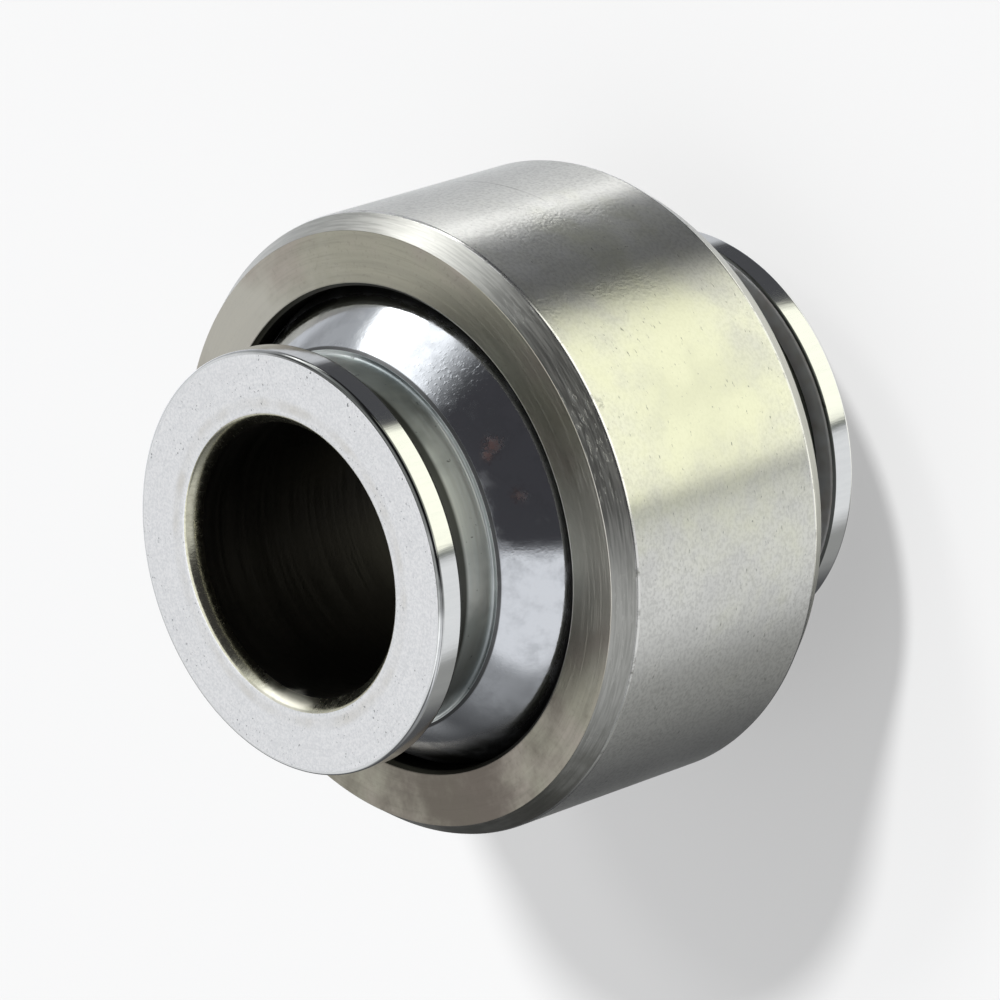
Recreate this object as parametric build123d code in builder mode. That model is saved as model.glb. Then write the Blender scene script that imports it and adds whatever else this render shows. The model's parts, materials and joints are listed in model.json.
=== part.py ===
from build123d import *
from math import acos, degrees, isclose, sqrt
import os

# Spherical plain bearing with a weld-in outer ring, all sizes in millimetres.
# The origin is the centre of the ball, the bearing's axis is Z,
# and the bearing stands on the lower end face of the ball.

# Ball: one turned and plated piece, with a bore for the pin
ball_diameter = 50.0
bore_diameter = 25.4
bore_chamfer_length = 1.35
bore_chamfer_height = 1.0
bore_mouth_rounding = 0.5

# Grooved neck and collar at each end of the ball
neck_wall = 4.5
neck_corner_radius = 0.3
shoulder_height = 0.405
groove_width = 6.0
collar_height = 2.35
collar_width = 2.75
collar_rounding = 0.4

# Outer ring: a plain steel ring formed round the ball
ring_wall = 3.95
ring_width = 27.0
ring_chamfer_length = 2.1
ring_chamfer_height = 1.35

# Race inside the ring, relieved at both mouths
race_clearance = 0.05
mouth_gap = 1.45
mouth_bevel = 0.4

# Ball: radii and levels worked out from the sizes above
ball_radius = ball_diameter / 2
bore_radius = bore_diameter / 2
bore_chamfer_radius = bore_radius + bore_chamfer_height
neck_radius = bore_radius + neck_wall
shoulder_radius = neck_radius + shoulder_height
collar_radius = neck_radius + collar_height
shoulder_angle = degrees(acos(shoulder_radius / ball_radius))
shoulder_level = sqrt(ball_radius**2 - shoulder_radius**2)
collar_back = shoulder_level + groove_width
ball_end = collar_back + collar_width

# Ring: the race follows the ball, and the mouth clears it by the mouth gap
race_radius = ball_radius + race_clearance
ring_radius = race_radius + ring_wall
ring_side = ring_width / 2
chamfer_radius = ring_radius - ring_chamfer_height
chamfer_level = ring_side - ring_chamfer_length
mouth_radius = sqrt(ball_radius**2 - ring_side**2) + mouth_gap
mouth_level = sqrt(race_radius**2 - mouth_radius**2)
race_angle = degrees(acos(mouth_radius / race_radius))

os.makedirs("parts", exist_ok=True)


def circles(part, radius):
    """The circular edges of a turned part that have this radius."""
    round_edges = part.edges().filter_by(GeomType.CIRCLE)
    return round_edges.filter_by(lambda edge: isclose(edge.radius, radius, abs_tol=1e-6))


# Ball: sphere, necks and collars turned from one bar
with BuildPart() as ball:
    with BuildSketch(Plane.XZ):
        with BuildLine():
            upper_end = Polyline(
                (bore_radius, ball_end - bore_chamfer_length),
                (bore_chamfer_radius, ball_end),
                (collar_radius, ball_end),
                (collar_radius, collar_back),
                (neck_radius, collar_back),
                (neck_radius, shoulder_level),
                (shoulder_radius, shoulder_level),
            )
            lower_end = mirror(upper_end, about=Plane.XZ)
            CenterArc((0, 0), ball_radius, -shoulder_angle, 2 * shoulder_angle)
            Line(upper_end @ 0, lower_end @ 0)
        make_face()
    revolve(axis=Axis.Z)
    fillet(circles(ball, collar_radius), collar_rounding)
    fillet(circles(ball, neck_radius), neck_corner_radius)
    fillet(circles(ball, bore_chamfer_radius), bore_mouth_rounding)

# Outer ring: spherical race, with a straight relief at each mouth
with BuildPart() as outer_ring:
    with BuildSketch(Plane.XZ):
        with BuildLine():
            upper_side = Polyline(
                (mouth_radius, mouth_level),
                (mouth_radius, ring_side - mouth_bevel),
                (mouth_radius + mouth_bevel, ring_side),
                (chamfer_radius, ring_side),
                (ring_radius, chamfer_level),
            )
            lower_side = mirror(upper_side, about=Plane.XZ)
            CenterArc((0, 0), race_radius, -race_angle, 2 * race_angle)
            Line(upper_side @ 1, lower_side @ 1)
        make_face()
    revolve(axis=Axis.Z)

ball.part.label = "ball"
export_step(ball.part, "parts/ball.step")

outer_ring.part.label = "outer_ring"
export_step(outer_ring.part, "parts/outer_ring.step")

print("ball length", round(2 * ball_end, 4), "collar diameter", round(2 * collar_radius, 3))
print("bore wall length", round(2 * (ball_end - bore_chamfer_length), 4))
print("ring diameter", round(2 * ring_radius, 3), "mouth diameter", round(2 * mouth_radius, 3))
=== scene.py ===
# %% [markdown]
# # Spherical plain bearing
# A plain steel ring is formed round a bored and plated ball, so that the ball can tilt and turn
# inside it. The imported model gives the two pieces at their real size. This script starts from it,
# reads the sizes that it holds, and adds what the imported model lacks: rounded edges, machined and
# plated finishes, a studio and a camera. Everything is in metres, with Z along the bore.

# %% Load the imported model
import json
from math import acos, asin, cos, pi, radians, sin, sqrt, tan

import bmesh
import bpy
from mathutils import Euler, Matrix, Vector


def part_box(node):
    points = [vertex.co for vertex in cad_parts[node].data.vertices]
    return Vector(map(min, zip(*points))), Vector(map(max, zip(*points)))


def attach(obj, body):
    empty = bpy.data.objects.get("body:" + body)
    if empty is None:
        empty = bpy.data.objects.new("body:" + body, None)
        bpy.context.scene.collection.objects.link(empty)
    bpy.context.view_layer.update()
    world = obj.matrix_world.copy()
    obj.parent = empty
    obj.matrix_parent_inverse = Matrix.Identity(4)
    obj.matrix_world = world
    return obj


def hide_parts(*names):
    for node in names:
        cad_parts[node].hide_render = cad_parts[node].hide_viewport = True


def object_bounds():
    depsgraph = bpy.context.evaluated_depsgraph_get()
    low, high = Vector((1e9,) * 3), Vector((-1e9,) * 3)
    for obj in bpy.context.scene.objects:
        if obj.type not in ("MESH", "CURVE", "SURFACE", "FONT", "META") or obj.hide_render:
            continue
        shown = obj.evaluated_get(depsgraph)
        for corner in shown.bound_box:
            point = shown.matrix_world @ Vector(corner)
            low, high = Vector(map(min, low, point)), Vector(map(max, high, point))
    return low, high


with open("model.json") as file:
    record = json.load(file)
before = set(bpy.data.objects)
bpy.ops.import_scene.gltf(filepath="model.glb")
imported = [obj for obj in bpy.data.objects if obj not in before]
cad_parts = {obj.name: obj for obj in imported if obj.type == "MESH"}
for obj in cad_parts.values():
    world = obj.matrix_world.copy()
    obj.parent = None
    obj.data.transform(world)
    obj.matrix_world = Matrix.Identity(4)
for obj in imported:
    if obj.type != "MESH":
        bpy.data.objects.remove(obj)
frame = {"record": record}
cad_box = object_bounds()

# %% [markdown]
# ## Sizes
# The outer sizes come from the frame: the ball's and the ring's boxes, and the bore's mount. The
# smaller steps of the turned profiles, such as a collar or a chamfer, are named here with the
# values that the solids have, so that each new surface lies on the solid that it stands for.

# %% Sizes of the two turned pieces
MM = 0.001

ball_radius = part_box("ball")[1].x
ball_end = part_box("ball")[1].z
ring_radius = -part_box("outer_ring")[0].x
ring_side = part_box("outer_ring")[1].z
bore_mount = next(mount for mount in frame["record"]["mounts"] if mount["name"] == "bore")
bore_radius = bore_mount["dims"]["r_mm"] * MM
bore_half_length = bore_mount["dims"]["length_mm"] / 2 * MM

bore_chamfer_radius = bore_radius + 1.0 * MM
bore_mouth_rounding = 0.5 * MM
neck_radius = bore_radius + 4.5 * MM
neck_corner_radius = 0.3 * MM
shoulder_radius = neck_radius + 0.405 * MM
shoulder_level = sqrt(ball_radius**2 - shoulder_radius**2)
collar_radius = neck_radius + 2.35 * MM
collar_back = shoulder_level + 6.0 * MM
collar_rounding = 0.4 * MM

race_radius = ball_radius + 0.05 * MM
mouth_radius = sqrt(ball_radius**2 - ring_side**2) + 1.45 * MM
mouth_level = sqrt(race_radius**2 - mouth_radius**2)
mouth_bevel = 0.4 * MM
chamfer_radius = ring_radius - 1.35 * MM
chamfer_level = ring_side - 2.1 * MM

print("ball radius", round(ball_radius / MM, 3), "half length", round(ball_end / MM, 3), "mm")
print("ring radius", round(ring_radius / MM, 3), "half width", round(ring_side / MM, 3), "mm")

# %% [markdown]
# ## Camera
# The photograph is a close view with a long lens: the far end of the bearing looks hardly smaller
# than the near one. The camera's place was found from the ellipses of the bore, the collar and
# the ring. In the photograph the bearing lies on its ring, but its own frame stands it on one
# end, so the camera is rolled until the axis runs to the left and slightly down, as it does there.

# %% Camera at the photograph's viewing angle
camera_azimuth = 40.0
camera_elevation = 41.65
camera_roll = -107.93
camera_distance = 714.8 * MM
centre_right = -0.05 * MM
centre_down = -0.39 * MM
lens_length = 281.45
sensor_width = 36.0

camera_turn = (
    Euler((radians(90 - camera_elevation), 0, radians(camera_azimuth))).to_matrix()
    @ Euler((0, 0, radians(camera_roll))).to_matrix()
)
camera_data = bpy.data.cameras.new("camera")
camera_data.lens = lens_length
camera_data.sensor_width = sensor_width
camera_data.clip_start = 0.01
camera_data.clip_end = 50.0
camera = bpy.data.objects.new("camera", camera_data)
camera.matrix_world = camera_turn.to_4x4()
camera.location = camera_turn @ Vector((-centre_right, centre_down, camera_distance))
bpy.context.scene.collection.objects.link(camera)
bpy.context.scene.camera = camera
print("camera at", [round(value, 4) for value in camera.location])

# %% [markdown]
# ## Nodes and colours
# Every finish here is built from shader nodes. One function adds a node with its settings and
# links, so a finish reads as a short list of steps. Colours are written as the sRGB hex values
# that a colour picker shows, and one function turns them into the linear light that Blender uses.


# %% A node with its settings and links, and colours from hex values
def linear(hex_colour, strength=1.0):
    """The linear colour of an sRGB hex value, times a strength for light."""
    channels = [int(hex_colour[i : i + 2], 16) / 255 for i in (1, 3, 5)]
    light = [c / 12.92 if c <= 0.04045 else ((c + 0.055) / 1.055) ** 2.4 for c in channels]
    return (*[strength * value for value in light], 1.0)


def add(tree, kind, settings=None, inputs=None):
    """One node. Inputs are plain values, or nodes and sockets to link from."""
    node = tree.nodes.new(kind)
    for name, value in (settings or {}).items():
        setattr(node, name, value)
    for name, value in (inputs or {}).items():
        socket = node.inputs[name]
        if isinstance(value, bpy.types.Node):
            value = next(output for output in value.outputs if output.enabled)
        if isinstance(value, bpy.types.NodeSocket):
            tree.links.new(value, socket)
        else:
            socket.default_value = value
    return node


print("white card", linear("#FFFFFF"), "grey card", linear("#808080"))

# %% [markdown]
# ## Studio
# Bright metal has almost no colour of its own: it shows its surroundings. So the studio is built
# first, as the photographer would: a white room with pale and dark cards round the bearing. A card
# is a soft-edged window in the world's colour, placed by its direction. Azimuth 0 is the camera's
# side, and elevations below zero are the table's, which the ring's outside mirrors. The floor
# itself stays out of the reflections, so these table cards are what the metal sees there. The
# last of them lies right under the bearing, where only steep facets, like the far chamfer, see it.

# %% World with cards
world_data = bpy.data.worlds.new("studio")
bpy.context.scene.world = world_data
world_data.use_nodes = True
world = world_data.node_tree
world.nodes.clear()

facing_camera = radians(90 - camera_azimuth)
look = add(world, "ShaderNodeTexCoord")
turned = add(
    world,
    "ShaderNodeVectorRotate",
    {"rotation_type": "Z_AXIS"},
    {"Vector": look.outputs["Generated"], "Angle": facing_camera},
)
parts = add(world, "ShaderNodeSeparateXYZ", None, {0: turned})
azimuth_angle = add(
    world, "ShaderNodeMath", {"operation": "ARCTAN2"}, {0: parts.outputs["Y"], 1: parts.outputs["X"]}
)
elevation_angle = add(world, "ShaderNodeMath", {"operation": "ARCSINE"}, {0: parts.outputs["Z"]})
azimuth = add(world, "ShaderNodeMath", {"operation": "DEGREES"}, {0: azimuth_angle})
elevation = add(world, "ShaderNodeMath", {"operation": "DEGREES"}, {0: elevation_angle})


def hang_card(room, middle, half_width, low, high, soft, colour, strength):
    """Hangs one soft-edged card in front of the room's light so far. Angles are in degrees."""
    away = add(world, "ShaderNodeMath", {"operation": "SUBTRACT"}, {0: azimuth, 1: middle})
    around = add(world, "ShaderNodeMath", {"operation": "WRAP"}, {0: away, 1: 180.0, 2: -180.0})
    beside = add(world, "ShaderNodeMath", {"operation": "ABSOLUTE"}, {0: around})
    cover = None
    edges = [(beside, half_width + soft, half_width - soft)]
    edges += [(elevation, low - soft, low + soft), (elevation, high + soft, high - soft)]
    for angle, outside, inside in edges:
        edge = add(
            world,
            "ShaderNodeMapRange",
            {"interpolation_type": "SMOOTHSTEP"},
            {"Value": angle, "From Min": outside, "From Max": inside},
        )
        if cover is None:
            cover = edge
        else:
            cover = add(world, "ShaderNodeMath", {"operation": "MULTIPLY"}, {0: cover, 1: edge})
    return add(
        world,
        "ShaderNodeMix",
        {"data_type": "RGBA"},
        {0: cover, 6: room, 7: linear(colour, strength)},
    )


# Middle azimuth, half width, lowest and highest elevation, softness, colour and strength
upper_cards = [
    (-88, 26, -8, 34, 14, "#F4F6FA", 0.34),
    (-59, 29, 8, 52, 6, "#FAFBFF", 0.8),
    (13, 43, -8, 50, 5, "#EEECF8", 0.055),
    (118, 18, -8, 30, 10, "#F4F6FA", 0.45),
    (89, 18, -2, 46, 13, "#FAFCFF", 1.4),
    (101, 6, -4, 20, 7, "#FFFFFF", 6.0),
    (180, 45, 2, 60, 10, "#FCFDFF", 0.78),
]
table_cards = [
    (-80, 30, -95, -4, 14, "#F7F8F6", 0.33),
    (-48, 28, -95, -4, 8, "#F7F8FA", 0.88),
    (17.5, 35.5, -95, -4, 4, "#FFFFEE", 1.24),
    (17.5, 35.5, -24, -4, 4, "#FFFFF8", 1.9),
    (-20, 1.5, -95, -4, 1.5, "#C0C8C0", 0.25),
    (83, 25, -95, -4, 4, "#F4F6FF", 0.08),
    (95.5, 3.5, -30, -4, 2.5, "#FFFFFF", 4.8),
    (146, 34, -95, -4, 4, "#F8FAFF", 0.63),
    (163, 13, -95, -4, 4, "#F8FAFF", 1.1),
    (0, 180, -95, -66, 4, "#FCFCF4", 1.2),
]

room = add(world, "ShaderNodeRGB")
room.outputs[0].default_value = linear("#F8FAFF", 0.09)
ceiling = add(
    world,
    "ShaderNodeMapRange",
    {"interpolation_type": "SMOOTHSTEP"},
    {"Value": elevation, "From Min": 44.0, "From Max": 64.0},
)
room = add(
    world,
    "ShaderNodeMix",
    {"data_type": "RGBA"},
    {0: ceiling, 6: room, 7: linear("#FCFDFF", 1.4)},
)
for card in table_cards + upper_cards:
    room = hang_card(room, *card)
light = add(world, "ShaderNodeBackground", None, {"Color": room})
add(world, "ShaderNodeOutputWorld", None, {"Surface": light})
print("cards", len(table_cards), "on the table side and", len(upper_cards), "above")

# %% [markdown]
# ## Floor and shadow lamps
# A wide white cloth under the lower end face carries the shadow. It is plain and matt, and glows a
# little for the camera alone, so that it comes out as white as a catalogue page. Two lamps only
# draw the shadow: wide suns, kept out of the reflections, from the side that the photograph's
# light comes from.

# %% Floor
floor_half_size = 6.0
floor_mesh = bmesh.new()
bmesh.ops.create_grid(floor_mesh, x_segments=1, y_segments=1, size=floor_half_size)
bmesh.ops.translate(floor_mesh, verts=floor_mesh.verts, vec=(0, 0, cad_box[0][2]))
floor_data = bpy.data.meshes.new("floor")
floor_mesh.to_mesh(floor_data)
floor_mesh.free()
floor = bpy.data.objects.new("floor", floor_data)
bpy.context.scene.collection.objects.link(floor)
floor.visible_glossy = False

cloth_material = bpy.data.materials.new("white_cloth")
cloth_material.use_nodes = True
cloth = cloth_material.node_tree
cloth.nodes.clear()
cloth_shade = add(cloth, "ShaderNodeBsdfDiffuse", None, {"Color": linear("#808080")})
cloth_glow = add(cloth, "ShaderNodeEmission", None, {"Color": linear("#F8F8F8"), "Strength": 0.435})
seen = add(cloth, "ShaderNodeLightPath")
no_glow = add(cloth, "ShaderNodeEmission", None, {"Strength": 0.0})
camera_glow = add(
    cloth, "ShaderNodeMixShader", None, {0: seen.outputs["Is Camera Ray"], 1: no_glow, 2: cloth_glow}
)
cloth_surface = add(cloth, "ShaderNodeAddShader", None, {0: cloth_shade, 1: camera_glow})
add(cloth, "ShaderNodeOutputMaterial", None, {"Surface": cloth_surface})
floor_data.materials.append(cloth_material)

# %% Lamps that draw the shadow
# Azimuth from the camera's side, elevation, energy and width of each lamp, angles in degrees
shadow_lamps = [(53, 49, 6.2, 6), (82, 52, 0.9, 10)]
for number, (lamp_azimuth, lamp_elevation, energy, width) in enumerate(shadow_lamps):
    lamp_data = bpy.data.lights.new(f"shadow_lamp_{number}", "SUN")
    lamp_data.energy = energy
    lamp_data.angle = radians(width)
    lamp = bpy.data.objects.new(lamp_data.name, lamp_data)
    bearing = radians(lamp_azimuth) - facing_camera
    level = cos(radians(lamp_elevation))
    way = Vector((level * cos(bearing), level * sin(bearing), sin(radians(lamp_elevation))))
    lamp.rotation_euler = way.to_track_quat("Z", "Y").to_euler()
    lamp.visible_glossy = False
    bpy.context.scene.collection.objects.link(lamp)
    print(lamp.name, "shines from", [round(value, 2) for value in way])

# %% [markdown]
# ## Turned pieces
# Both pieces come off a lathe, so each is one profile spun round the axis. A profile is drawn for
# the upper half only, in the plane of X and Z: corner points joined by straight edges, and an arc
# spun from a single point for the spherical part. Corners are rounded by a bevel on the point, the
# way a drawing gives a fillet radius, and the lower half is a mirror image. Spinning last keeps
# every rounding exact, and the weighted normals keep the flat faces flat right up to them.


# %% Profiles
merge_distance = 0.0001 * MM


def straight_run(profile, corners):
    """Points at these radii and heights, joined by straight edges."""
    points = [profile.verts.new((radius, 0, height)) for radius, height in corners]
    for first, second in zip(points, points[1:]):
        profile.edges.new((first, second))
    return points


def round_corner(profile, point, radius, segments=5):
    """Rounds the corner between a point's two edges to this radius."""
    ways = [(edge.other_vert(point).co - point.co).normalized() for edge in point.link_edges]
    half_opening = ways[0].angle(ways[1]) / 2
    bmesh.ops.bevel(
        profile,
        geom=[point],
        offset=radius / tan(half_opening),
        offset_type="OFFSET",
        segments=segments,
        profile=0.5,
        affect="VERTICES",
        material=-1,
    )


def spin_profile(profile, steps):
    """Mirrors the upper half profile and spins it into a closed piece."""
    everything = list(profile.verts) + list(profile.edges)
    bmesh.ops.mirror(profile, geom=everything, merge_dist=merge_distance, axis="Z")
    bmesh.ops.remove_doubles(profile, verts=profile.verts, dist=merge_distance)
    bmesh.ops.spin(
        profile,
        geom=list(profile.verts) + list(profile.edges),
        cent=(0, 0, 0),
        axis=(0, 0, 1),
        angle=2 * pi,
        steps=steps,
        use_merge=True,
        use_duplicate=False,
    )
    bmesh.ops.remove_doubles(profile, verts=profile.verts, dist=merge_distance)
    bmesh.ops.recalc_face_normals(profile, faces=profile.faces)


# %% Finished pieces from a spun profile
def finish_piece(name, profile, body, finishes, finish_at):
    """Makes the object, gives each face its finish, and joins it to its body."""
    data = bpy.data.meshes.new(name)
    for material in finishes.values():
        data.materials.append(material)
    order = list(finishes)
    for face in profile.faces:
        middle = face.calc_center_median()
        finish = finish_at(middle.xy.length, abs(middle.z))
        face.material_index = order.index(finish)
        face.smooth = True
        if finish == "worn_edge":
            for edge in face.edges:
                edge.smooth = False
    profile.to_mesh(data)
    profile.free()
    piece = bpy.data.objects.new(name, data)
    bpy.context.scene.collection.objects.link(piece)
    bpy.context.view_layer.objects.active = piece
    weighted = piece.modifiers.new("flat faces stay flat", "WEIGHTED_NORMAL")
    weighted.weight = 100
    bpy.ops.object.modifier_apply(modifier=weighted.name)
    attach(piece, body)
    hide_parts(name)
    print(name, len(data.vertices), "vertices,", len(data.polygons), "faces")
    return piece


# %% [markdown]
# ## Patterns left by machines and wear
# A turning tool leaves fine lines round the axis, plating leaves small bumps, and handling leaves
# specks and smudges. Each pattern is noise on Object coordinates in millimetres, stretched to the
# real thing's size: a turning line is hair-thin across and runs on for centimetres along the cut.


# %% Material start and shared patterns
def start_material(name):
    """An empty node material with its object coordinates in millimetres."""
    material = bpy.data.materials.new(name)
    material.use_nodes = True
    tree = material.node_tree
    tree.nodes.clear()
    spot = add(tree, "ShaderNodeTexCoord")
    place = add(
        tree,
        "ShaderNodeVectorMath",
        {"operation": "SCALE"},
        {0: spot.outputs["Object"], "Scale": 1 / MM},
    )
    return material, tree, place


def axis_distance(tree, place):
    """The distance from the axis, and the point moved down to the middle plane."""
    flat = add(tree, "ShaderNodeVectorMath", {"operation": "MULTIPLY"}, {0: place, 1: (1, 1, 0)})
    radius = add(tree, "ShaderNodeVectorMath", {"operation": "LENGTH"}, {0: flat})
    return radius.outputs["Value"], flat


def cut_grain(tree, place, across, spacing, run, detail=2.0):
    """Noise drawn out by a cut: it changes over the spacing across it, and over the run along it.

    Across is Z for a cylinder, or R for a face that was cut from its rim to its middle.
    """
    depth, flat = axis_distance(tree, place)
    if across == "Z":
        depth = add(tree, "ShaderNodeSeparateXYZ", None, {0: place}).outputs["Z"]
    around = add(tree, "ShaderNodeVectorMath", {"operation": "SCALE"}, {0: flat, "Scale": 1 / run})
    depth = add(tree, "ShaderNodeMath", {"operation": "DIVIDE"}, {0: depth, 1: spacing})
    lift = add(tree, "ShaderNodeCombineXYZ", None, {"Z": depth})
    spot = add(tree, "ShaderNodeVectorMath", {"operation": "ADD"}, {0: around, 1: lift})
    settings = {"Vector": spot, "Scale": 1.0, "Detail": detail, "Roughness": 0.55}
    return add(tree, "ShaderNodeTexNoise", None, settings)


def speckle(tree, place, size, low, high, detail=2.0):
    """Specks of about this size in millimetres: 0 between them and 1 in their middles."""
    settings = {"Vector": place, "Scale": 1 / size, "Detail": detail, "Roughness": 0.6}
    noise = add(tree, "ShaderNodeTexNoise", None, settings)
    return ramp_up(tree, noise, low, high)


def ramp_up(tree, value, low, high, bottom=0.0, top=1.0):
    """Turns a value from low to high into a soft step from bottom to top."""
    limits = {"Value": value, "From Min": low, "From Max": high, "To Min": bottom, "To Max": top}
    return add(tree, "ShaderNodeMapRange", {"interpolation_type": "SMOOTHSTEP"}, limits)


def combine(tree, way, first, second):
    """Two values joined by one sum, such as MULTIPLY or ADD."""
    return add(tree, "ShaderNodeMath", {"operation": way}, {0: first, 1: second})


def tint(tree, share, first, second):
    """A colour that goes from the first to the second with the share."""
    return add(tree, "ShaderNodeMix", {"data_type": "RGBA"}, {0: share, 6: first, 7: second})


def metal_surface(material, tree, colour, roughness, relief, height, brushed=0.0):
    """Ends a metal: its colour, gloss and relief, and how far the cut draws out its shine."""
    push = {"Strength": 1.0, "Distance": height * MM, "Height": relief}
    bump = add(tree, "ShaderNodeBump", None, push)
    inputs = {"Base Color": colour, "Metallic": 1.0, "Roughness": roughness, "Normal": bump}
    if brushed:
        cut = add(tree, "ShaderNodeTangent", {"direction_type": "RADIAL", "axis": "Z"})
        inputs.update({"Anisotropic": brushed, "Anisotropic Rotation": 0.25, "Tangent": cut})
    surface = add(tree, "ShaderNodeBsdfPrincipled", None, inputs)
    add(tree, "ShaderNodeOutputMaterial", None, {"Surface": surface})
    print("finish", material.name, len(tree.nodes), "nodes")
    return material


# %% [markdown]
# ## The ball's finishes
# The ball is steel with a bright zinc plate, slightly blue. The sphere and the collar rims are
# smooth under the plate and mirror the room. The end faces are satin, because they were faced off
# before plating. The bore is dark: its plate is thin, and it is painted dark as shade, as little
# light gets in. Where the ball has rubbed, fine scratches show, and a little rust has bloomed
# through. Shade is painted on the sphere at the ring's mouth and along the shoulder, and in the
# necks' grooves; a dark reflection is painted on one rim's front edge, and a highlight where pins
# enter the bore. Each of these marks has its place in millimetres from the centre of the ball.


# %% Places on the bearing
def spot_at(side, radius, height):
    """A point in millimetres, by its turn from the camera's side, radius and height."""
    bearing = radians(side) - facing_camera
    return (radius * cos(bearing), radius * sin(bearing), height)


def smudge(tree, place, centre, size, grain=0.45):
    """A ragged patch round a point: 1 in its middle, and 0 from its size outwards."""
    gap = add(tree, "ShaderNodeVectorMath", {"operation": "DISTANCE"}, {0: place, 1: centre})
    settings = {"Vector": place, "Scale": 1 / grain, "Detail": 4.0, "Roughness": 0.65}
    noise = add(tree, "ShaderNodeTexNoise", None, settings)
    edge = combine(tree, "ADD", gap.outputs["Value"], combine(tree, "MULTIPLY", noise, 2 * size))
    return ramp_up(tree, edge, 2 * size, 1.1 * size)


# %% Bright plated sphere
def make_bright_plate():
    """Zinc plate on a ground and polished sphere: a soft mirror with scratches, haze, rust and
    painted shade.
    """
    material, tree, place = start_material("bright_plated_sphere")
    bumps = speckle(tree, place, 0.3, 0.4, 0.75)
    scuffs = ramp_up(tree, cut_grain(tree, place, "Z", 0.5, 0.35, 4.0), 0.5, 0.72)
    marks = combine(tree, "MULTIPLY", scuffs, smudge(tree, place, spot_at(36, 19.7, 15.4), 5.0))
    relief = combine(tree, "ADD", combine(tree, "MULTIPLY", bumps, 0.15), marks)
    haze = speckle(tree, place, 2.6, 0.42, 0.7, 5.0)
    metal = tint(tree, haze, linear("#E6E9EC"), linear("#D2D5D8"))
    # Turn from the camera's side, radius, height, size and share of each bloom of rust
    blooms = [(13, 19.4, 15.8, 1.3, 0.7), (11, 18.9, 16.4, 0.9, 0.7), (-1.5, 19.7, 15.4, 1.0, 0.55)]
    rust = 0.0
    for side, radius, height, size, share in blooms:
        bloom = smudge(tree, place, spot_at(side, radius, height), size, 0.3)
        rust = combine(tree, "MAXIMUM", rust, combine(tree, "MULTIPLY", bloom, share))
    metal = tint(tree, rust, metal, linear("#8A4A38"))
    height = add(tree, "ShaderNodeSeparateXYZ", None, {0: place}).outputs["Z"]
    level = combine(tree, "ABSOLUTE", height, 0.0)
    # Painted shade: on one side by the ring's mouth, in a band at the mouth, and along the
    # shoulder's crease
    side_shade = smudge(tree, place, spot_at(-92, 20.9, 13.7), 16.0, 16.0)
    side_shade_by_mouth = combine(tree, "MULTIPLY", side_shade, ramp_up(tree, level, 16.4, 13.2))
    mouth_shade = ramp_up(tree, level, 13.1, 12.3, 0.0, 0.85)
    shoulder_crease_shade = ramp_up(tree, level, 17.4, 17.5, 0.0, 0.85)
    sphere_shade = combine(tree, "MAXIMUM", combine(tree, "MAXIMUM", side_shade_by_mouth, mouth_shade), shoulder_crease_shade)
    colour = tint(tree, sphere_shade, metal, linear("#2A2924"))
    gloss = ramp_up(tree, haze, 0.0, 1.0, 0.08, 0.2)
    dulled = combine(tree, "MULTIPLY", combine(tree, "MAXIMUM", rust, sphere_shade), 0.3)
    roughness = combine(tree, "ADD", gloss, dulled)
    return metal_surface(material, tree, colour, roughness, relief, 0.009)


bright_plate = make_bright_plate()


# %% Plated neck
def make_neck_plate():
    """The same plate over turning marks in the groove: satin, with painted shade, black by the
    collar.
    """
    material, tree, place = start_material("plated_neck")
    lines = cut_grain(tree, place, "Z", 0.25, 9.0)
    pits = speckle(tree, place, 0.9, 0.66, 0.72, 3.0)
    plate = tint(tree, lines, linear("#E4E8E4"), linear("#D3DADA"))
    plate = tint(tree, combine(tree, "MULTIPLY", pits, 0.7), plate, linear("#4A4A42"))
    # Turn from the camera's side and share of each patch of painted shade
    for side, share in ((-52, 0.6), (48, 0.75)):
        groove_shade = smudge(tree, place, spot_at(side, neck_radius / MM, 19.5), 11.0, 9.0)
        plate = tint(tree, combine(tree, "MULTIPLY", groove_shade, share), plate, linear("#667074"))
    height = add(tree, "ShaderNodeSeparateXYZ", None, {0: place}).outputs["Z"]
    level = combine(tree, "ABSOLUTE", height, 0.0)
    # Painted shade under the collar, nearly black next to it
    grime_and_shade = ramp_up(tree, level, 20.7, 21.2, 0.0, 0.9)
    colour = tint(tree, grime_and_shade, plate, linear("#2E2E29"))
    roughness = ramp_up(tree, lines, 0.3, 0.7, 0.33, 0.41)
    return metal_surface(material, tree, colour, roughness, lines, 0.004)


neck_plate = make_neck_plate()


# %% Grimy collar back
def make_collar_back():
    """The collar's back face in the groove, where oil and dust stay: dull, and grey in the shade."""
    material, tree, place = start_material("grimy_collar_back")
    grime_and_shade = speckle(tree, place, 3.5, 0.35, 0.75)
    colour = tint(tree, grime_and_shade, linear("#EAEAEC"), linear("#D2CCC8"))
    roughness = ramp_up(tree, grime_and_shade, 0.0, 1.0, 0.56, 0.66)
    return metal_surface(material, tree, colour, roughness, grime_and_shade, 0.004)


collar_back_grime = make_collar_back()


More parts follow.
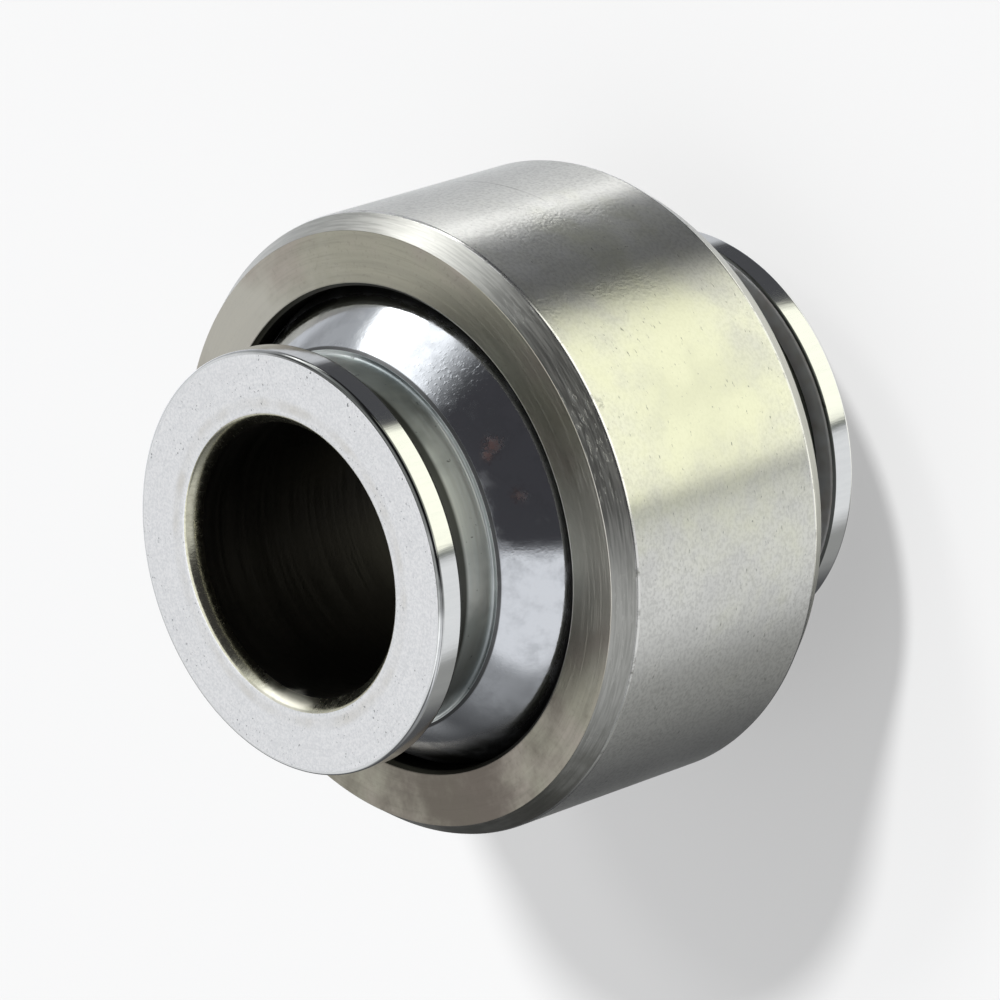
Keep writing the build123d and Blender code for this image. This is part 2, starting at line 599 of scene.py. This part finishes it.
# %% Polished collar rim
def make_rim_plate():
    """Plate over a rolled rim: nearly a mirror, with faint streaks and a dark reflection painted on
    one edge.
    """
    material, tree, place = start_material("polished_collar_rim")
    streaks = cut_grain(tree, place, "Z", 4.0, 0.5)
    plate = tint(tree, streaks, linear("#EEEFEE"), linear("#E2E4E4"))
    height = add(tree, "ShaderNodeSeparateXYZ", None, {0: place}).outputs["Z"]
    # A dark reflection painted on the front rounding round one side of the rim
    edge_reflection_patch = smudge(tree, place, spot_at(20, collar_radius / MM, ball_end / MM), 25.0, 16.0)
    painted_edge_reflection = combine(tree, "MULTIPLY", edge_reflection_patch, ramp_up(tree, height, 26.0, 26.15, 0.0, 0.9))
    colour = tint(tree, painted_edge_reflection, plate, linear("#30332E"))
    roughness = ramp_up(tree, streaks, 0.3, 0.7, 0.08, 0.13)
    return metal_surface(material, tree, colour, roughness, streaks, 0.004)


rim_plate = make_rim_plate()


# %% Satin end face
def make_end_plate():
    """Plate over a faced end: satin and grainy, with clustered pits and a warm band."""
    material, tree, place = start_material("satin_end_face")
    radius, _ = axis_distance(tree, place)
    cloud = speckle(tree, place, 5.0, 0.35, 0.75)
    clusters = speckle(tree, place, 3.6, 0.45, 0.62)
    pits = combine(tree, "MULTIPLY", speckle(tree, place, 0.34, 0.6, 0.7, 4.0), clusters)
    grain = speckle(tree, place, 0.22, 0.3, 0.7)
    lines = ramp_up(tree, cut_grain(tree, place, "R", 0.22, 7.0), 0.5, 0.75)
    metal = tint(tree, grain, linear("#E6E7E8"), linear("#F7F7F7"))
    metal = tint(tree, combine(tree, "MULTIPLY", lines, 0.25), metal, linear("#D4D5D6"))
    warm_middle = bore_radius / MM + 2.0
    off_band = combine(tree, "ABSOLUTE", combine(tree, "SUBTRACT", radius, warm_middle), 0.0)
    band = ramp_up(tree, off_band, 0.8, 0.1)
    warm = combine(tree, "MULTIPLY", band, ramp_up(tree, cloud, 0.0, 1.0, 0.1, 0.55))
    metal = tint(tree, warm, metal, linear("#D0CCC2"))
    colour = tint(tree, pits, metal, linear("#808284"))
    relief = combine(tree, "SUBTRACT", combine(tree, "MULTIPLY", grain, 0.3), pits)
    roughness = ramp_up(tree, cloud, 0.0, 1.0, 0.4, 0.48)
    return metal_surface(material, tree, colour, roughness, relief, 0.012)


end_plate = make_end_plate()


# %% Bore mouth
# Where pins wear the bore's mouth, and where a highlight is painted on it
rub_highlight_spot = spot_at(-120, bore_radius / MM, ball_end / MM)


def make_mouth_plate():
    """Plate on the bore's chamfer: glossy, with short scores, and a painted highlight where pins
    enter and wear it.
    """
    material, tree, place = start_material("scored_bore_mouth")
    scores = cut_grain(tree, place, "Z", 2.5, 0.3, 3.0)
    # A painted highlight, rougher, where pins have worn the chamfer
    rub_highlight = smudge(tree, place, rub_highlight_spot, 6.5, 3.0)
    plate = tint(tree, scores, linear("#DCDAC6"), linear("#B4B29C"))
    colour = tint(tree, rub_highlight, plate, linear("#F2F0E0"))
    gloss = ramp_up(tree, scores, 0.3, 0.7, 0.18, 0.28)
    roughness = combine(tree, "ADD", gloss, combine(tree, "MULTIPLY", rub_highlight, 0.25))
    return metal_surface(material, tree, colour, roughness, scores, 0.012)


mouth_plate = make_mouth_plate()


# %% Dark bore
def make_bore_plate():
    """Thin plate on a drilled bore: painted dark and a little brown as shade, with a painted
    highlight where the pin enters.
    """
    material, tree, place = start_material("dark_bore")
    lines = cut_grain(tree, place, "Z", 0.4, 12.0)
    # The bore's dark colour is painted shade, and the light patch is a painted highlight
    rub_highlight = smudge(tree, place, rub_highlight_spot, 2.6, 3.0)
    dark = tint(tree, lines, linear("#5C5A54"), linear("#48453F"))
    colour = tint(tree, rub_highlight, dark, linear("#D8D6CA"))
    gloss = ramp_up(tree, lines, 0.3, 0.7, 0.3, 0.42)
    roughness = combine(tree, "ADD", gloss, combine(tree, "MULTIPLY", rub_highlight, 0.3))
    return metal_surface(material, tree, colour, roughness, lines, 0.006)


bore_plate = make_bore_plate()

# %% [markdown]
# ## The ring's finishes
# The ring is bare mild steel, left as the lathe cut it so that it can be welded. Its outside has
# fine lines round the axis, which draw every reflection out along the axis: the tell-tale bands
# of turned steel. The chamfers were cut by a coarser pass and look ridged, and the corner between
# them and the outside has worn to a narrow bright flat. The side faces are oily and olive grey,
# with rings that draw their shine out from the middle.


# %% Turned outside
def make_turned_outside():
    """Turned mild steel: sharp round the cut, blurred along the axis, gritty, oily and nicked."""
    material, tree, place = start_material("turned_ring_outside")
    lines = cut_grain(tree, place, "Z", 0.2, 2.5)
    dimples = cut_grain(tree, place, "Z", 0.3, 0.35, 3.0)
    nicks = ramp_up(tree, cut_grain(tree, place, "Z", 0.22, 0.7, 3.0), 0.66, 0.74)
    cloud = speckle(tree, place, 6.0, 0.35, 0.75)
    dent = smudge(tree, place, spot_at(10, ring_radius / MM, 11.0), 0.7, 0.2)
    height = add(tree, "ShaderNodeSeparateXYZ", None, {0: place}).outputs["Z"]
    off_line = combine(tree, "ABSOLUTE", combine(tree, "ADD", height, 1.7), 0.0)
    near_line = smudge(tree, place, spot_at(67, ring_radius / MM, -1.7), 7.0, 3.0)
    scratch = combine(tree, "MULTIPLY", ramp_up(tree, off_line, 0.14, 0.05), near_line)
    metal = tint(tree, lines, linear("#F2F2ED"), linear("#E4E4DF"))
    metal = tint(tree, ramp_up(tree, dimples, 0.35, 0.6), linear("#D6D6D1"), metal)
    metal = tint(tree, combine(tree, "MULTIPLY", cloud, 0.4), metal, linear("#DCDCD8"))
    oil = smudge(tree, place, spot_at(8, ring_radius / MM, 0.0), 23.0, 12.0)
    metal = tint(tree, combine(tree, "MULTIPLY", oil, 0.8), metal, linear("#EEEFD4"))
    flaws = combine(tree, "MAXIMUM", nicks, combine(tree, "MULTIPLY", scratch, 0.6))
    colour = tint(tree, combine(tree, "MULTIPLY", flaws, 0.7), metal, linear("#77766F"))
    grit = smudge(tree, place, spot_at(46, ring_radius / MM, 3.0), 15.0, 8.0)
    dimples = combine(tree, "MULTIPLY", dimples, ramp_up(tree, grit, 0.0, 1.0, 1.3, 4.0))
    soft = combine(tree, "ADD", combine(tree, "MULTIPLY", lines, 0.3), dimples)
    cuts = combine(tree, "ADD", flaws, combine(tree, "MULTIPLY", dent, 6.0))
    relief = combine(tree, "SUBTRACT", soft, cuts)
    roughness = ramp_up(tree, cloud, 0.0, 1.0, 0.31, 0.35)
    return metal_surface(material, tree, colour, roughness, relief, 0.005, 0.95)


turned_outside = make_turned_outside()


# %% Worn edge
def make_worn_edge():
    """The edge between the outside and the chamfer: a narrow flat, worn bright and dotted."""
    material, tree, place = start_material("worn_ring_edge")
    dots = speckle(tree, place, 1.1, 0.52, 0.8, 4.0)
    colour = tint(tree, dots, linear("#E6E6E2"), linear("#8E8E88"))
    roughness = ramp_up(tree, dots, 0.0, 1.0, 0.2, 0.4)
    return metal_surface(material, tree, colour, roughness, dots, 0.006)


worn_edge = make_worn_edge()


# %% Ridged chamfer
def make_chamfer_cut():
    """A coarse chamfer cut: long ridges round the axis, torn flakes, and painted shade on one side.
    """
    material, tree, place = start_material("ridged_ring_chamfer")
    ridges = cut_grain(tree, place, "Z", 0.16, 4.0, 3.0)
    flakes = ramp_up(tree, cut_grain(tree, place, "Z", 0.22, 1.0, 4.0), 0.56, 0.66)
    chatter = speckle(tree, place, 11.0, 0.42, 0.6)
    torn = combine(tree, "MULTIPLY", flakes, ramp_up(tree, chatter, 0.0, 1.0, 0.3, 1.0))
    metal = tint(tree, ramp_up(tree, ridges, 0.35, 0.65), linear("#AEAEA8"), linear("#C6C6C0"))
    metal = tint(tree, combine(tree, "MULTIPLY", torn, 0.4), metal, linear("#D4D4CE"))
    # Painted shade on one side of the chamfer
    chamfer_side_shade = smudge(tree, place, spot_at(-82, chamfer_radius / MM, 12.5), 17.0, 9.0)
    colour = tint(tree, combine(tree, "MULTIPLY", chamfer_side_shade, 0.8), metal, linear("#76756C"))
    roughness = ramp_up(tree, ridges, 0.3, 0.7, 0.34, 0.42)
    depth = combine(tree, "ADD", combine(tree, "MULTIPLY", ridges, 0.6), torn)
    return metal_surface(material, tree, colour, roughness, depth, 0.009)


chamfer_cut = make_chamfer_cut()


# %% Turned side face
def make_side_face():
    """A faced side, oily and olive grey, with faint rings, wiped patches and a darker brown patch.
    """
    material, tree, place = start_material("turned_ring_side")
    fine = ramp_up(tree, cut_grain(tree, place, "R", 0.2, 6.0, 3.0), 0.45, 0.7)
    broad = ramp_up(tree, cut_grain(tree, place, "R", 1.1, 25.0), 0.4, 0.65)
    pores = speckle(tree, place, 0.4, 0.55, 0.72, 3.0)
    warm = speckle(tree, place, 9.0, 0.42, 0.62)
    # Darker and browner on one side
    dark_brown_patch = smudge(tree, place, spot_at(-98, 25.5, ring_side / MM), 21.0, 6.0)
    oily = tint(tree, warm, linear("#ACA999"), linear("#AFA79C"))
    metal = tint(tree, combine(tree, "MULTIPLY", broad, 0.35), oily, linear("#989689"))
    metal = tint(tree, combine(tree, "MULTIPLY", fine, 0.3), metal, linear("#918F82"))
    metal = tint(tree, combine(tree, "MULTIPLY", pores, 0.3), metal, linear("#807D72"))
    # Turn from the camera's side, size and share of each wiped patch
    for side, size, share in ((122, 17.0, 0.6), (-18, 13.0, 0.7)):
        wiped = smudge(tree, place, spot_at(side, 25.5, ring_side / MM), size, 9.0)
        metal = tint(tree, combine(tree, "MULTIPLY", wiped, share), metal, linear("#D2CFC6"))
    colour = tint(tree, combine(tree, "MULTIPLY", dark_brown_patch, 0.85), metal, linear("#6A625A"))
    roughness = ramp_up(tree, fine, 0.0, 1.0, 0.28, 0.34)
    return metal_surface(material, tree, colour, roughness, fine, 0.003, 0.3)


side_face = make_side_face()


# %% Dark mouth and race
def make_ring_mouth():
    """The relief and race beside the ball: steel painted near black as shade."""
    material, tree, place = start_material("shade_painted_ring_mouth")
    lines = cut_grain(tree, place, "Z", 0.3, 10.0)
    # Near-black colour painted as the shade between the ring and the ball
    colour = tint(tree, lines, linear("#3A392F"), linear("#26251F"))
    roughness = ramp_up(tree, lines, 0.3, 0.7, 0.35, 0.5)
    return metal_surface(material, tree, colour, roughness, lines, 0.01)


ring_mouth = make_ring_mouth()
print("materials", len(bpy.data.materials))

# %% [markdown]
# ## Ball
# The ball, its two grooved necks and its end collars are one turned piece with a bore right
# through. The profile goes from the bore wall over the chamfer, the end face and the collar, down
# into the neck and over the small shoulder to the sphere, which is an arc spun from one point.

# %% Ball profile
ball_profile = bmesh.new()
ball_points = straight_run(
    ball_profile,
    [
        (bore_radius, 0),
        (bore_radius, bore_half_length),
        (bore_chamfer_radius, ball_end),
        (collar_radius, ball_end),
        (collar_radius, collar_back),
        (neck_radius, collar_back),
        (neck_radius, shoulder_level),
        (shoulder_radius, shoulder_level),
    ],
)
bmesh.ops.spin(
    ball_profile,
    geom=[ball_points[-1]],
    cent=(0, 0, 0),
    axis=(0, 1, 0),
    angle=acos(shoulder_radius / ball_radius),
    steps=40,
    use_duplicate=False,
)
bmesh.ops.remove_doubles(ball_profile, verts=ball_profile.verts, dist=merge_distance)
shoulder_rounding = 0.12 * MM
for corner, radius in (
    (2, bore_mouth_rounding),
    (3, collar_rounding),
    (4, collar_rounding),
    (5, neck_corner_radius),
    (6, neck_corner_radius),
    (7, shoulder_rounding),
):
    round_corner(ball_profile, ball_points[corner], radius)
spin_profile(ball_profile, 360)
print("ball profile spun,", len(ball_profile.verts), "points")


# %% Ball finishes and piece
def ball_finish(radius, height):
    """The finish of a ball face at this radius and height from the middle."""
    slack = 0.05 * MM
    if radius < bore_radius + slack:
        return "bore"
    if radius < bore_chamfer_radius + bore_mouth_rounding and height < ball_end - slack:
        return "bore_mouth"
    if radius < collar_radius - collar_rounding and height > ball_end - slack:
        return "end"
    if height > collar_back + collar_rounding and radius > collar_radius - collar_rounding:
        return "rim"
    if abs(height - collar_back) < slack and radius > neck_radius + neck_corner_radius:
        return "collar_back"
    if height > shoulder_level - slack:
        return "neck"
    return "sphere"


ball = finish_piece(
    "ball",
    ball_profile,
    "ball",
    {
        "sphere": bright_plate,
        "neck": neck_plate,
        "collar_back": collar_back_grime,
        "rim": rim_plate,
        "end": end_plate,
        "bore_mouth": mouth_plate,
        "bore": bore_plate,
    },
    ball_finish,
)

# %% [markdown]
# ## Outer ring
# The ring started as a plain turned bush with a chamfer outside and a small bevel inside at each
# side, and was pressed round the ball. Its race follows the sphere with a running clearance, and
# each mouth is relieved, so that there is room for the ball's neck when it tilts. The corner
# between the outside and each chamfer is rounded in one step, which leaves the worn flat.

# %% Ring profile
edge_rounding = 0.2 * MM
worn_rounding = 0.65 * MM
worn_half_width = 0.15 * MM
ring_profile = bmesh.new()
ring_points = straight_run(
    ring_profile,
    [
        (mouth_radius, mouth_level),
        (mouth_radius, ring_side - mouth_bevel),
        (mouth_radius + mouth_bevel, ring_side),
        (chamfer_radius, ring_side),
        (ring_radius, chamfer_level),
        (ring_radius, 0),
    ],
)
bmesh.ops.spin(
    ring_profile,
    geom=[ring_points[0]],
    cent=(0, 0, 0),
    axis=(0, 1, 0),
    angle=asin(mouth_level / race_radius),
    steps=20,
    use_duplicate=False,
)
bmesh.ops.remove_doubles(ring_profile, verts=ring_profile.verts, dist=merge_distance)
for corner, radius, segments in (
    (1, edge_rounding, 4),
    (2, edge_rounding, 4),
    (3, edge_rounding / 2, 3),
    (4, worn_rounding, 1),
):
    round_corner(ring_profile, ring_points[corner], radius, segments)
spin_profile(ring_profile, 720)
print("ring profile spun,", len(ring_profile.verts), "points")


# %% Ring finishes and piece
def ring_finish(radius, height):
    """The finish of a ring face at this radius and height from the middle."""
    slack = 0.01 * MM
    if radius > ring_radius - slack:
        return "outside"
    if abs(height - chamfer_level) < worn_half_width:
        return "worn_edge"
    if radius > chamfer_radius:
        return "chamfer"
    if height > ring_side - edge_rounding / 2:
        return "side"
    return "mouth"


outer_ring = finish_piece(
    "outer_ring",
    ring_profile,
    "outer_ring",
    {
        "outside": turned_outside,
        "worn_edge": worn_edge,
        "chamfer": chamfer_cut,
        "side": side_face,
        "mouth": ring_mouth,
    },
    ring_finish,
)

# %% [markdown]
# ## Colour management
# The picture uses Blender's Standard view, so a colour renders about as it was written. The
# finished pieces must stay inside the imported ones.

# %% Finish
bpy.context.scene.view_settings.view_transform = "Standard"
